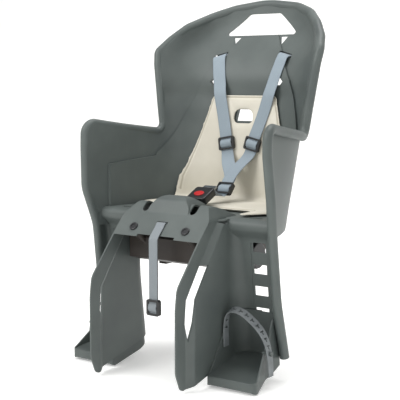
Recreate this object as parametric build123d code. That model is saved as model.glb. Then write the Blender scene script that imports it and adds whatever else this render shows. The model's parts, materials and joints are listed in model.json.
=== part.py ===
import os

from build123d import *

# Depths run back and heights up from the tips of the leg shields, in the seat's own upright pose.
# The finished pieces are moved so that the origin is the middle of the carrier rest.
REST_DEPTH = 215.0
REST_HEIGHT = 205.0
CLEAR = 0.3

# Seat shell: back, wings and arms
WALL = 3.0
TUB_FOOT = 262.0
HOOD_TOP = 730.0
RIM_R = 9.0
LEVEL_COUNT = 13
LINER_PROUD = 5.0

# Front edge of the guards, arms and wings: depth, height, bend radius.
GUARD_EDGE = ((178, 42, 0), (148, 150, 200))
FRONT_EDGE = ((131, 266, 150), (109, 338, 80), (103, 420, 100), (105, 470, 22), (150, 463, 200),
              (200, 456, 200), (255, 449, 200), (306, 442, 20), (309, 500, 100), (313, 585, 40))
# Edge of the hood from the wing's corner to the middle of the handle: half width, height, bend radius.
HOOD_EDGE = ((188, 611, 16), (174, 637, 40), (149, 664, 60), (112, 688, 60), (74, 703, 50), (0, 713, 150))

# Seat pan and leg channels
PAN_HEIGHT = 297.0
PAN_NOSE = 122.0
STRIP_X = 98.5
SHIELD_X = 108.5
GUARD_X = 201.0
REAR_FOOT = 188.0
REAR_SLOPE = 0.12
GUARD_CORNER_R = 8.0
# Height, end of the front strip, start of the shield, radius of the channel's inner corner.
CHANNEL_LEVELS = ((-10, 14, 30, 30), (165, 15, 31, 30), (262, 90, 102, 18), (PAN_HEIGHT, 117, 129, 13))
# Side outline of the strip and shield: depth, height, corner radius.
SHIELD_OUTLINE = ((56, 262, 1), (-8, 188, 30), (-13, 150, 60), (-13, 36, 30), (2, 0, 12), (176, 42, 4),
                  (200, 47, 1), (200, 296, 1), (146, 296, 1), (128, 289, 1), (100, 297, 1), (92, 297, 1))
SLOT_OUTLINE = ((19, 88), (13, 122), (16, 165), (58, 221), (73, 221), (32, 165), (27, 122))
GUARD_FOOT = 42.0
GUARD_TOP = 288.0

# Footrest ladder in each channel's rear wall
HOLE_X = 164.0
HOLE_WIDTH = 28.0
HOLE_HEIGHT = 18.0
HOLE_PITCH = 41.5
HOLE_FOOT = 112.5
HOLE_COUNT = 4
TRACK_WIDTH = 36.0
TRACK_DEPTH = 1.2
TRACK_FOOT = 60.0
TRACK_TOP = 254.0

# Bridge between the legs
BRIDGE_HALF = 100.0
LOBE_HALF = 47.0
BRIDGE_FOOT = 262.0
SHOULDER_OUTLINE = ((56, BRIDGE_FOOT), (98, 306), (116, 323), (150, 313), (186, 297))
LOBE_OUTLINE = ((56, BRIDGE_FOOT), (96, 304), (109, 329), (126, 337), (150, 324), (190, 297))
# Front views of the shoulders and the lobe, from the outside in: half width, height.
SHOULDER_CROWN = ((BRIDGE_HALF, PAN_HEIGHT), (80, 323))
LOBE_CROWN = ((LOBE_HALF, 314), (30, 333), (0, 339))
SADDLE_R = 14.0
SHOULDER_R = 18.0
LOBE_R = 24.0
BRIDGE_STEP_HALF = 43.0
BRIDGE_STEP = 4.0
SCREW_X = 60.0
SCREW_HOLE_R = 3.2
SCREW_CAP_R = 8.6
SCREW_DISH_R = 4.4
GROOVE_X = 55.0
GROOVE_WIDTH = 15.0
GROOVE_LENGTH = 50.0
GROOVE_FRONT = 97.0

# Openings of the back
HANDLE = ((89, 646, 4), (37, 691, 14))
HOOK_HOLE = ((66, 641), (49, 641), (56, 624))
STRAP_SLOT = ((94, 596), (94, 604), (63, 612), (63, 604))
STRAP_SLOT_MIDDLE = (78.5, 604)
# Way across a strap in its slot: how far to the outside and how far down.
STRAP_SLOT_WAY = (0.968, 0.25)
LOW_SLOT = ((88, 549), (82, 556), (62, 556), (62, 542), (82, 542))
BACK_HOLE = ((22, 468), (17, 492))
LAP_SLOT_X = 145.0
LAP_SLOT_DEPTH = 168.0
LINER_OUTLINE = ((43, 645), (80, 594), (105, 552), (131, 488), (150, 434), (163, 402), (163, 285))
LEDGE = ((155, 285), (155, 384), (250, 392), (345, 400), (345, 285))

# Padded cover
PAD_THICK = 9.0
PAD_OUTLINE = ((80, 526), (100, 455), (133, 345), (133, 299.5))
PAD_RADII = (12, 30, 40, 2)
SEAT_PAD_OUTLINE = ((-130, 160), (-112, 160), (-112, 209), (112, 209), (112, 160), (130, 160), (165, 203),
                    (165, 350), (-165, 350), (-165, 203))
SEAT_PAD_RADII = (6, 8, 8, 8, 8, 6, 20, 5, 5, 20)

# Harness: a strap's line down the back is width, height and distance in front of the shell's inner face.
STRAP_WIDTH = 28.0
STRAP_THICK = 1.6
STRAP_LINE = ((78, 598, 8.5), (76, 588, 7.6), (71, 562, 8.6), (68, 544, 12.5), (65, 525, 17.2),
              (58, 500, 16.8), (45, 462, 17), (36, 436, 18.8), (32, 422, 19.2), (29, 406, 19.4))
# How far the left strap runs nearer the middle than the right one, row by row.
LEFT_STRAP_IN = (0, 1, 3.6, 5.5, 7, 6.3, 3, 1, 0, 0)
ADJUSTER_ROW = 11
RING_CENTRE = Vector(8, 278, 335)
ADJUSTER_WIDTH = 36.0
ADJUSTER_LENGTH = 27.0
ADJUSTER_HEIGHT = 7.0
BUCKLE_CENTRE = Vector(0, 203, 334)
BUCKLE_FACING = Vector(0, -0.4226, 0.9063)
BUCKLE_WIDTH = 44.0
BUCKLE_LENGTH = 44.0
BUCKLE_THICK = 15.0
BUTTON_HALF_X = 11.0
BUTTON_HALF_Y = 8.5
BUTTON_HEIGHT = 4.5
BUTTON_PROUD = 1.5
WELL_DEPTH = 6.0
TONGUE_WIDTH = 30.0
TONGUE_LENGTH = 26.0
TONGUE_THICK = 2.5
TONGUE_DROP = -8.0
LINK_WIDTH = 22.0
CROTCH_WIDTH = 24.0
CROTCH_THICK = 1.6
CROTCH_DEPTH = 202.5

# Front securing strap
FRONT_STRAP_WIDTH = 20.0
FRONT_STRAP_THICK = 3.0
FRONT_SLOT_ALONG = 36.0
FRONT_STRAP_FOOT = 116.0
SCREW_ALONG = 21.0
SCREW_R = 2.5

# Footrest and its strap: outline rows are depth, height and corner radius.
REST_GAP = 0.6
REST_SIDE_GAP = 1.4
REST_WALL = 3.0
REST_FRONT = 62.0
REST_FLARE = 128.0
REST_TOE = 218.0
REST_TOP = 128.0
REST_OUTLINE = ((62, -3, 10), (62, 19, 2), (74, 22, 8), (136, 112, 20), (150, 122, 12), (178, 128, 2),
                (190, 30, 2), (150, 14, 20))
REST_OUTER_OUTLINE = ((62, -3, 10), (62, 19, 2), (74, 22, 8), (134, 74, 14), (152, 116, 12), (178, 128, 2),
                      (190, 30, 2), (150, 14, 20))
REST_BASE = ((63, 14), (63, 17), (190, 46), (190, 43))
LATCH_HEIGHT = 102.0
LATCH_LENGTH = 14.0
STRAP_Y = 121.0
STUD_HEIGHT = 62.0
STUD_START = 196.0
STUD_END = 214.5
STUD_R = 2.8
STUD_HEAD_R = 4.6
STUD_HEAD_LENGTH = 2.5
STUD_HOLE_R = 3.3
FOOT_STRAP_WIDTH = 17.0
FOOT_STRAP_THICK = 2.4
FOOT_STRAP_LINE = ((117, 62), (116, 92), (118.5, 117), (127, 131), (141, 133), (168.4, 121), (193, 100),
                   (205.5, 78), (211, 56), (213, 36), (213.5, 20))

# Carrier adapter, clamp jaws, spindle and knob
ADAPTER_TOP = 285.0
ADAPTER_HALF = 92.0
ADAPTER_WALL = 4.0
ADAPTER_OUTLINE = ((97, 214), (97, 254), (126, 284.4), (127, ADAPTER_TOP), (330, ADAPTER_TOP), (330, 262),
                   (290, REST_HEIGHT), (125, REST_HEIGHT))
BOLT_X = 60.0
BOLT_DEPTH = 282.0
BOLT_R = 2.5
BOLT_REACH = 8.0
BOLT_HEAD_R = 5.5
BOLT_WELL_R = 6.4
BOLT_WELL_DEPTH = 7.0
BOSS_R = 8.0
SCREW_BOSS_LENGTH = 52.0
JAW_DEPTH = 215.0
JAW_LENGTH = 70.0
JAW_HEIGHT = 20.0
JAW_IN = 26.0
JAW_OUT = 84.0
JAW_SLOT_START = 56.0
JAW_GAP = 0.6
TUBE_X = 70.0
TUBE_R = 5.0
BORE_GAP = 0.05
SPINDLE_R = 4.0
SPINDLE_HEIGHT = 219.5
SPINDLE_START = 96.0
SPINDLE_END = 124.0
COLLAR_X = 11.25
COLLAR_R = 6.5
COLLAR_LENGTH = 3.5
KNOB_START = 104.0
KNOB_R = 26.0
KNOB_LENGTH = 22.0
KNOB_FLUTES = 10
FLUTE_R = 5.0
FLUTE_OUT = 2.5
RING_LENGTH = 3.0


def ease(z, low, high):
    """Smooth step from 0 at the low height to 1 at the high one."""
    t = min(max((z - low) / (high - low), 0), 1)
    return t * t * (3 - 2 * t)


def plan_points(z):
    """Half of the plan section at a height: middle of the back, round the corner, then forwards.

    The laws are fitted to the photo: a value at the tub's foot, its slope, and what the waist and hood add.
    """
    rise = z - TUB_FOOT
    fold = min(max((z - 606) / 150, 0), 1)
    back = 345 + 0.112 * rise + 52 * ease(z, 560, 680)
    edge_x = 150 + 0.098 * rise - 95 * ease(z, 600, 760)
    edge_y = 267 + 0.15 * rise + 65 * (1 - (1 - fold) ** 2)
    reach_x = 66 - 24 * ease(z, 262, 484) + 18 * ease(z, 484, 612)
    reach_y = -180 - 40 * ease(z, 262, 484) + 170 * ease(z, 484, 600)
    depth = back - edge_y
    return [(0, back), (0.5 * edge_x, back - 0.08 * depth), (0.8 * edge_x, back - 0.38 * depth),
            (edge_x, edge_y), (edge_x + 0.5 * reach_x, edge_y + 0.5 * reach_y),
            (edge_x + reach_x, edge_y + reach_y)]


def plan_spline(z, offset=0.0):
    """The whole plan section, moved outwards from the inner face by an offset."""
    half = plan_points(z)
    points = [Vector(-x, y, z) for x, y in half[:0:-1]] + [Vector(x, y, z) for x, y in half]
    curve = Spline(*points)
    moved = []
    for point in points:
        tangent = curve.tangent_at(curve.param_at_point(point))
        moved.append(point + Vector(-tangent.Y, tangent.X, 0).normalized() * offset)
    return Spline(*moved)


def wall(near, far, low=TUB_FOOT, high=HOOD_TOP, count=LEVEL_COUNT):
    """Solid between two offsets of the moulded surface, counted outwards from its inner face."""
    sections = []
    for step in range(count):
        z = low + (high - low) * step / (count - 1)
        inner = plan_spline(z, near)
        outer = plan_spline(z, far)
        sections.append(Wire([inner, Line(inner @ 1, outer @ 1), outer, Line(outer @ 0, inner @ 0)]))
    return Solid.make_loft(sections)


def tub_inside(offset, low, high):
    """What the moulded surface encloses between two heights, grown outwards by an offset."""
    sections = []
    for z in (low, high):
        curve = plan_spline(z, offset)
        sections.append(Wire([curve, Line(curve @ 1, curve @ 0)]))
    return Solid.make_loft(sections)


def on_wall(z, value, pick):
    """Point on the right of the inner face where one coordinate has a value, and the outward way there."""
    curve = plan_spline(z)
    low, high = 0.5, 1.0
    sign = 1 if pick(curve @ 1) > pick(curve @ 0.5) else -1
    for _ in range(40):
        middle = (low + high) / 2
        if (pick(curve @ middle) - value) * sign < 0:
            low = middle
        else:
            high = middle
    tangent = curve % low
    return curve @ low, Vector(-tangent.Y, tangent.X, 0).normalized()


def side_prism(outline, x_from, x_to):
    """A closed side-view outline, depth and height, carried across the seat."""
    solid = extrude(make_face(Plane.YZ * outline), x_to - x_from, dir=(1, 0, 0))
    return solid.moved(Location((x_from, 0, 0)))


def front_prism(outline, y_from, y_to):
    """A closed front-view outline, width and height, carried from front to back."""
    solid = extrude(make_face(Plane.XZ * outline), y_to - y_from, dir=(0, 1, 0))
    return solid.moved(Location((0, y_from, 0)))


def both_sides(right):
    """A piece of the right-hand side with its mirror image."""
    return right + right.mirror(Plane.YZ)


def build_hood():
    """Back, wings and arms: the moulded wall cut to its side outline, with the rolled rim along its edge."""
    guard = [(Vector(GUARD_X - WALL / 2, y, z), Vector(1, 0, 0)) for y, z, _ in GUARD_EDGE]
    front = [on_wall(z, y, lambda p: p.Y) for y, z, _ in FRONT_EDGE]
    hood = [on_wall(z, x, lambda p: p.X) for x, z, _ in HOOD_EDGE]
    front_radii = [row[2] for row in FRONT_EDGE]
    front_outline = [(p.Y, p.Z) for p, _ in front + hood[:1]]
    hood_outline = [(p.Y, p.Z) for p, _ in hood]
    far = plan_points(HOOD_TOP)[0][1] + 100
    front_line = FilletPolyline(*front_outline, radius=front_radii[1:])
    top_line = Spline(*hood_outline)
    closing = Polyline(hood_outline[-1], (far, hood_outline[-1][1]), (far, TUB_FOOT),
                       (front_outline[0][0], TUB_FOOT), front_outline[0])
    keep = extrude(make_face(Plane.YZ * Curve([front_line, top_line, closing])), 2 * GUARD_X, both=True)
    cut_wall = wall(0, WALL) & keep
    radii = [row[2] for row in GUARD_EDGE + FRONT_EDGE + HOOD_EDGE]
    centres = [p + way * RIM_R for p, way in guard + front + hood]
    full = [Vector(-p.X, p.Y, p.Z) for p in centres[:-1]] + centres[::-1]
    path = FilletPolyline(*full, radius=radii[1:-1] + radii[-1:] + radii[-2:0:-1])
    rim = sweep(Plane(path @ 0, z_dir=path % 0) * Circle(RIM_R), path)
    return cut_wall, rim


def rear_at(z):
    """Depth of the middle of the channels' rear wall at a height."""
    return REAR_FOOT - REAR_SLOPE * z


def build_channel():
    """Leg channel of the right side: front strip, shield, rear wall and guard as one bent wall."""
    sections = []
    for z, strip_end, shield_start, corner_r in CHANNEL_LEVELS:
        rear = rear_at(z)
        line = FilletPolyline((STRIP_X, -30), (STRIP_X, strip_end), (SHIELD_X, shield_start),
                              (SHIELD_X, rear), (GUARD_X, rear), (GUARD_X, 90),
                              radius=[6, 6, corner_r, GUARD_CORNER_R])
        sections.append(trace(line, WALL).face().outer_wire().moved(Location((0, 0, z))))
    bent = Solid.make_loft(sections, ruled=True)
    middle = (SHIELD_X + GUARD_X) / 2
    shield_points = [row[:2] for row in SHIELD_OUTLINE]
    shield_radii = [row[2] for row in SHIELD_OUTLINE]
    inner = side_prism(FilletPolyline(*shield_points, radius=shield_radii, close=True), 0, middle)
    edge = [row[:2] for row in GUARD_EDGE + FRONT_EDGE[:1]]
    rear = rear_at(PAN_HEIGHT) - 2 * WALL / 3
    top = ((edge[-1][0], GUARD_TOP), (rear - 2, GUARD_TOP), (rear, PAN_HEIGHT - 1), (230, PAN_HEIGHT - 1))
    guard_outline = Polyline((230, GUARD_FOOT), *edge, *top, close=True)
    outer = side_prism(guard_outline, middle, 300)
    bent = (bent & inner) + (bent & outer)
    bent = bent - side_prism(Polyline(*SLOT_OUTLINE, close=True), STRIP_X - 6, SHIELD_X + 4)
    return bent


def ladder_cuts():
    """Track and holes of the footrest ladder in the right channel's rear wall."""
    bed = TRACK_DEPTH - WALL / 2
    track = [(rear_at(TRACK_FOOT) - 10, TRACK_FOOT), (rear_at(TRACK_FOOT) + bed, TRACK_FOOT),
             (rear_at(TRACK_TOP) + bed, TRACK_TOP), (rear_at(TRACK_TOP) - 10, TRACK_TOP)]
    half = TRACK_WIDTH / 2
    cuts = [side_prism(Polyline(*track, close=True), HOLE_X - half, HOLE_X + half)]
    for step in range(HOLE_COUNT):
        z = HOLE_FOOT + HOLE_HEIGHT / 2 + step * HOLE_PITCH
        cuts.append(Box(HOLE_WIDTH, 40, HOLE_HEIGHT).moved(Location((HOLE_X, rear_at(z), z))))
    return cuts


def build_pan():
    """Seat pan with its front edge rolled down into the channels' rear walls, cut to fit inside the tub."""
    low = BRIDGE_FOOT - 22
    roll = FilletPolyline((375, PAN_HEIGHT), (PAN_NOSE, PAN_HEIGHT), (rear_at(BRIDGE_FOOT), BRIDGE_FOOT),
                          (rear_at(low), low), radius=[12, 20])
    side = extrude(Plane.YZ * trace(roll, WALL), GUARD_X, both=True)
    side = side & tub_inside(WALL / 2, PAN_HEIGHT - 70, PAN_HEIGHT + 20)
    under = Box(2 * SHIELD_X, 150, 100).moved(Location((0, 105, PAN_HEIGHT - WALL / 2 - 50)))
    lid = Plane.XY * Polyline((STRIP_X, 116), (SHIELD_X, 128), (SHIELD_X, 152), (STRIP_X, 152), close=True)
    lid = extrude(make_face(lid), WALL, dir=(0, 0, -1)).moved(Location((0, 0, PAN_HEIGHT)))
    return side - under + both_sides(lid)


def bridge_blocks(inset):
    """Shoulders and middle lobe of the saddle between the legs, shrunk by an inset that opens them below."""
    blocks = []
    foot = BRIDGE_FOOT if inset == 0 else BRIDGE_FOOT - 60
    crowns = []
    for rows, radius in ((SHOULDER_CROWN, SHOULDER_R), (LOBE_CROWN, LOBE_R)):
        half = [(rows[0][0], foot), *rows]
        mirrored = [(-x, z) for x, z in half if x > 0]
        crowns.append(FilletPolyline(*mirrored, *half[::-1], radius=radius))
    for line, crown in zip((SHOULDER_OUTLINE, LOBE_OUTLINE), crowns):
        top = FilletPolyline(*line, radius=SADDLE_R)
        first, last = line[0], line[-1]
        ahead = [(first[0] - (BRIDGE_FOOT - foot), foot)] if inset else []
        rim = Polyline(last, (last[0], foot), *ahead, first)
        side_face = make_face(Curve([top, rim]))
        front_face = make_face(Curve([crown, Line(crown @ 1, crown @ 0)]))
        if inset:
            side_face = offset(side_face, -inset, kind=Kind.INTERSECTION)
            front_face = offset(front_face, -inset, kind=Kind.INTERSECTION)
        across = extrude(Plane.YZ * side_face, BRIDGE_HALF, dir=(1, 0, 0), both=True)
        along = extrude(Plane.XZ * front_face, 400, dir=(0, 1, 0))
        blocks.append(across & along)
    return blocks


def slope_point(along, out=0.0):
    """Point of the bridge's front slope in the middle plane: distance up the slope, distance out of it."""
    up = (Vector(0, *LOBE_OUTLINE[1]) - Vector(0, *LOBE_OUTLINE[0])).normalized()
    outward = Vector(0, -up.Z, up.Y)
    return Vector(0, *LOBE_OUTLINE[0]) + up * along + outward * out


def slope_plane(x, along, out=0.0):
    """Plane on the bridge's front slope, facing out of it, with its own X across the seat."""
    facing = slope_point(0, 1) - slope_point(0, 0)
    point = slope_point(along, out)
    return Plane((x, point.Y, point.Z), x_dir=(1, 0, 0), z_dir=facing)


def build_liner():
    """Raised panel on the back and hips, one step prouder than the wings and arms."""
    outline = list(LINER_OUTLINE) + [(-x, z) for x, z in LINER_OUTLINE[::-1]]
    back = front_prism(Polyline(*outline, close=True), 0, 600)
    hips = side_prism(Polyline(*LEDGE, close=True), -250, 250)
    return wall(-LINER_PROUD, 0.5) & (back + hips)


def build_shell():
    """One moulding: hood, rim, liner, leg channels, pan and bridge, then every opening cut through it."""
    cut_wall, rim = build_hood()
    shell = cut_wall + rim + build_liner() + both_sides(build_channel()) + build_pan()
    for block in bridge_blocks(0):
        shell = shell + block
    for boss_x in (-BOLT_X, BOLT_X):
        boss = Cylinder(BOSS_R, PAN_HEIGHT - ADAPTER_TOP, align=(Align.CENTER, Align.CENTER, Align.MIN))
        shell = shell + boss.moved(Location((boss_x, BOLT_DEPTH, ADAPTER_TOP)))
    for block in bridge_blocks(WALL):
        shell = shell - block
    (low_x, low_z, low_r), (top_x, top_z, top_r) = HANDLE
    handle = FilletPolyline((-low_x, low_z), (low_x, low_z), (top_x, top_z), (-top_x, top_z),
                            radius=[low_r, low_r, top_r, top_r], close=True)
    cuts = [front_prism(handle, 380, 520)]
    for cut in ladder_cuts():
        cuts.append(both_sides(cut))
    (low_x, low_z), (top_x, top_z) = BACK_HOLE
    back_hole = Polyline((-low_x, low_z), (low_x, low_z), (top_x, top_z), (-top_x, top_z), close=True)
    cuts.append(front_prism(back_hole, 340, 420))
    for outline in (HOOK_HOLE, STRAP_SLOT, LOW_SLOT):
        cuts.append(both_sides(front_prism(Polyline(*outline, close=True), 340, 480)))
    cuts.append(both_sides(Box(40, 8, 30).moved(Location((LAP_SLOT_X, LAP_SLOT_DEPTH, PAN_HEIGHT)))))
    cuts.append(Box(2 * BRIDGE_STEP_HALF, 60, 2 * BRIDGE_STEP).moved(Location((0, 56, BRIDGE_FOOT))))
    groove = Plane.XY * SlotOverall(GROOVE_LENGTH, GROOVE_WIDTH, rotation=90)
    groove = extrude(groove, 30, both=True)
    groove = groove.moved(Location((GROOVE_X, GROOVE_FRONT + GROOVE_LENGTH / 2, 320)))
    cuts.append(both_sides(groove & bridge_gap()))
    cuts.append(slope_plane(0, FRONT_SLOT_ALONG) * Box(FRONT_STRAP_WIDTH + 4, FRONT_STRAP_THICK + 1.4, 40))
    for side in (-1, 1):
        cuts.append(slope_plane(side * SCREW_X, SCREW_ALONG) * Cylinder(SCREW_HOLE_R, 30))
        bolt_hole = Cylinder(BOLT_R, 30)
        cuts.append(bolt_hole.moved(Location((side * BOLT_X, BOLT_DEPTH, ADAPTER_TOP + BOLT_REACH - 15))))
    cuts.append(Box(2 * (BRIDGE_HALF - WALL), 60, 60).moved(Location((0, 170, PAN_HEIGHT - WALL / 2 - 30))))
    cuts.append(Box(CROTCH_WIDTH + 4, CROTCH_THICK + 4, 30).moved(Location((0, CROTCH_DEPTH, PAN_HEIGHT))))
    for cut in cuts:
        shell = shell - cut
    return shell


def bridge_gap():
    """Space beside the middle lobe, where the grooves may cut the shoulders."""
    return Box(2 * BRIDGE_HALF, 400, 200).moved(Location((LOBE_HALF + BRIDGE_HALF + CLEAR, 200, 380)))


def ribbon(centres, across, width, thick, count):
    """Webbing of even width through a row of points: the across ways are turned square to the path."""
    path = Spline(*centres)
    sections = []
    marks = [path.param_at_point(Vector(p)) for p in centres]
    for step in range(count + 1):
        t = step / count
        index = max(i for i, mark in enumerate(marks) if mark <= t + 1e-6)
        index = min(index, len(marks) - 2)
        share = (t - marks[index]) / (marks[index + 1] - marks[index])
        way = Vector(across[index]) * (1 - share) + Vector(across[index + 1]) * share
        along = (path % t).normalized()
        side = (way - along * way.dot(along)).normalized() * (width / 2)
        face = along.cross(side).normalized() * (thick / 2)
        middle = path @ t
        corners = [middle + side + face, middle - side + face, middle - side - face, middle + side - face]
        sections.append(Wire(Polyline(*corners, close=True).edges()))
    return Solid.make_loft(sections, ruled=True)


def off_wall(x, z, inside):
    """Point in front of the moulded surface at a width and height."""
    point, way = on_wall(z, abs(x), lambda p: p.X)
    point = point - way * inside
    return Vector(point.X if x > 0 else -point.X, point.Y, point.Z)


def wall_across(x, z):
    """Level way along the moulded surface at a width and height, towards the right."""
    _, way = on_wall(z, abs(x), lambda p: p.X)
    return Vector(way.Y, -way.X if x > 0 else way.X, 0)


def slot_middle(side):
    """Middle of a shoulder strap's slot on the inner face, and the way across the strap there."""
    x, z = STRAP_SLOT_MIDDLE
    return off_wall(side * x, z, 0), Vector(STRAP_SLOT_WAY[0], 0, -side * STRAP_SLOT_WAY[1])


def strap_rows(side):
    """Centres and across ways of a shoulder strap from behind its slot down to where it leaves the pad."""
    centres = []
    slot, way = slot_middle(side)
    for back in (23, 8, -3):
        centres.append(slot + Vector(0, back, 0))
    ways = [way] * 3
    for (x, z, inside), nearer in zip(STRAP_LINE, LEFT_STRAP_IN):
        across = side * x if side > 0 else nearer - x
        centres.append(off_wall(across, z, inside))
        ways.append(wall_across(across, z))
    return centres, ways


def build_shoulder_strap(side):
    """Shoulder webbing of one side, over the pad and down to the ring in front of it."""
    centres, ways = strap_rows(side)
    frame = ring_plane()
    layer = frame.z_dir * (side * (STRAP_THICK + CLEAR) / 2)
    last = centres[-1]
    above = RING_CENTRE + frame.y_dir * 26
    centres.append((last + above) * 0.5 + layer * 1.2)
    for up in (26, 12, 0, -7):
        centres.append(RING_CENTRE + frame.y_dir * up + layer)
    ways = ways + [Vector(1, 0, 0)] * 5
    return ribbon(centres, ways, STRAP_WIDTH, STRAP_THICK, 36)


def slider(plane, width, length, height, tunnel_width, tunnel_height):
    """Ladder adjuster on a strap: a frame with a tunnel along its length and two windows in its front."""
    frame = Box(width, length, height)
    frame = fillet(frame.edges().filter_by(Axis.Z), 4)
    frame = frame - Box(tunnel_width, 2 * length, tunnel_height)
    for end in (-1, 1):
        window = Box(tunnel_width - 3, length / 3.6, height)
        frame = frame - window.moved(Location((0, end * length / 4.4, height / 2)))
    return plane * frame


def strap_plane(side):
    """Frame on the shoulder strap at its adjuster: across, up along the strap, and out of the pad."""
    centres, ways = strap_rows(side)
    up = (centres[ADJUSTER_ROW - 1] - centres[ADJUSTER_ROW + 1]).normalized()
    across = (ways[ADJUSTER_ROW] - up * up.dot(ways[ADJUSTER_ROW])).normalized()
    return Plane(centres[ADJUSTER_ROW], x_dir=across, z_dir=across.cross(up))


def ring_plane():
    """Frame of the harness ring: across, up along the straps, and out to the front."""
    centres, _ = strap_rows(1)
    up = Vector(0, centres[-1].Y - RING_CENTRE.Y, centres[-1].Z - RING_CENTRE.Z).normalized()
    return Plane(RING_CENTRE, x_dir=(1, 0, 0), z_dir=Vector(1, 0, 0).cross(up))


def build_pad():
    """Padded cover: a layer on the back and hips and a layer on the pan, with a trapezoid hole."""
    near = LINER_PROUD + CLEAR
    points = list(PAD_OUTLINE) + [(-x, z) for x, z in PAD_OUTLINE[::-1]]
    rounded = FilletPolyline(*points, radius=PAD_RADII + PAD_RADII[::-1], close=True)
    outline = front_prism(rounded, 180, 500)
    back = wall(-near - PAD_THICK, -near, TUB_FOOT, 550, 9) & outline
    plan = FilletPolyline(*SEAT_PAD_OUTLINE, radius=SEAT_PAD_RADII, close=True)
    floor = PAN_HEIGHT + WALL / 2 + CLEAR
    seat = extrude(make_face(Plane.XY * plan), PAD_THICK, dir=(0, 0, 1)).moved(Location((0, 0, floor)))
    seat = seat & tub_inside(-near - 2, PAN_HEIGHT - 10, PAN_HEIGHT + 40)
    (low_x, low_z), (top_x, top_z) = BACK_HOLE
    hole = Polyline((-low_x, low_z), (low_x, low_z), (top_x, top_z), (-top_x, top_z), close=True)
    return (back - front_prism(hole, 300, 420)) + seat


def buckle_plane(up=0.0):
    """Frame on the buckle's top face: across, towards the back and out of the face."""
    tilt = Plane(BUCKLE_CENTRE, x_dir=(1, 0, 0), z_dir=BUCKLE_FACING)
    return tilt.offset(up)


def build_buckle():
    """Buckle housing with a well for its button and a mouth for the tongue."""
    body = Box(BUCKLE_WIDTH, BUCKLE_LENGTH, BUCKLE_THICK, align=(Align.CENTER, Align.CENTER, Align.MAX))
    body = fillet(body.edges().filter_by(Axis.Z), 6)
    body = fillet(body.faces().sort_by(Axis.Z)[-1].edges(), 3)
    well = extrude(Ellipse(BUTTON_HALF_X + CLEAR, BUTTON_HALF_Y + CLEAR), 2 * WELL_DEPTH, both=True)
    well = well & Box(90, 90, 2 * WELL_DEPTH)
    body = body - well.moved(Location((0, -4, 0)))
    mouth = Box(TONGUE_WIDTH + 2 * CLEAR, 24, TONGUE_THICK + 2 * CLEAR)
    body = body - mouth.moved(Location((0, BUCKLE_LENGTH / 2, TONGUE_DROP)))
    slot = Box(CROTCH_WIDTH + 2, CROTCH_THICK + 2, 9)
    return buckle_plane() * (body - slot.moved(Location((0, -BUCKLE_LENGTH / 2 + 12, -BUCKLE_THICK))))


def build_button():
    """Oval release button, standing a little out of the buckle."""
    button = extrude(Ellipse(BUTTON_HALF_X, BUTTON_HALF_Y), BUTTON_HEIGHT)
    button = fillet(button.faces().sort_by(Axis.Z)[-1].edges(), 1.2)
    return buckle_plane() * button.moved(Location((0, -4, BUTTON_PROUD - BUTTON_HEIGHT)))


def build_tongue():
    """Metal tongue in the buckle's mouth, with a slot for the short link of webbing."""
    plate = Box(TONGUE_WIDTH, TONGUE_LENGTH, TONGUE_THICK)
    plate = fillet(plate.edges().filter_by(Axis.Z), 3)
    plate = plate - Box(LINK_WIDTH + 1, 3.4, 10).moved(Location((0, TONGUE_LENGTH / 2 - 4.5, 0)))
    middle = BUCKLE_LENGTH / 2 - 10 + TONGUE_LENGTH / 2
    return buckle_plane() * plate.moved(Location((0, middle, TONGUE_DROP)))


def build_link():
    """Short webbing from the ring's lower end to the tongue's slot."""
    down = ring_plane().y_dir * -1
    slot = Vector(0, BUCKLE_LENGTH / 2 - 10 + TONGUE_LENGTH - 4.5, TONGUE_DROP)
    end = buckle_plane().from_local_coords(slot)
    lead = buckle_plane().from_local_coords(slot - Vector(0, 0, 8))
    start = RING_CENTRE + down * 10.5
    low = RING_CENTRE + down * 17 + Vector(-1, -2, 0)
    centres = [start, low, (low + lead) * 0.5 + Vector(0, 0, -2), lead, end]
    return ribbon(centres, [Vector(1, 0, 0)] * len(centres), LINK_WIDTH, STRAP_THICK, 16)


def build_crotch_strap():
    """Crotch webbing from the buckle's underside down through the pan."""
    hang = buckle_plane(-BUCKLE_THICK)
    top = hang.from_local_coords(Vector(0, -BUCKLE_LENGTH / 2 + 12, 3.5))
    lead = hang.from_local_coords(Vector(0, -BUCKLE_LENGTH / 2 + 12, -2))
    centres = [top, lead]
    for z in (12, 4, -3, -11):
        centres.append(Vector(0, CROTCH_DEPTH, PAN_HEIGHT + z))
    return ribbon(centres, [Vector(1, 0, 0)] * len(centres), CROTCH_WIDTH, CROTCH_THICK, 14)


def build_front_strap():
    """Doubled webbing out of the bridge's slot, over its lower edge and down to its adjuster."""
    out = CLEAR + FRONT_STRAP_THICK / 2
    corner = slope_point(0, out)
    drop_y = corner.Y - 2
    top = slope_point(FRONT_SLOT_ALONG, out)
    deep = slope_point(FRONT_SLOT_ALONG, out - 12)
    path = FilletPolyline((deep.Y, deep.Z), (top.Y, top.Z), (drop_y, corner.Z - 2),
                          (drop_y, FRONT_STRAP_FOOT), radius=[2.4, 8])
    strip = extrude(Plane.YZ * trace(path, FRONT_STRAP_THICK), FRONT_STRAP_WIDTH / 2, both=True)
    return strip, Vector(0, drop_y, FRONT_STRAP_FOOT + 16)


def footrest_plan(z, inset):
    """Plan outline of the right footrest at a height, shrunk by an inset."""
    rear = rear_at(z) - WALL / 2 - REST_GAP - inset
    left = SHIELD_X + WALL / 2 + REST_GAP + inset
    right = GUARD_X - WALL / 2 - REST_SIDE_GAP - inset
    points = [(left, REST_FRONT + inset), (left, rear), (right, rear), (right, REST_FLARE),
              (REST_TOE - 1.2 * inset, REST_FRONT + inset)]
    radii = [9 - inset, CHANNEL_LEVELS[0][3] - 3 - inset, GUARD_CORNER_R - 3 - inset, 40, 11 - inset]
    return FilletPolyline(*points, radius=radii, close=True)


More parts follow.
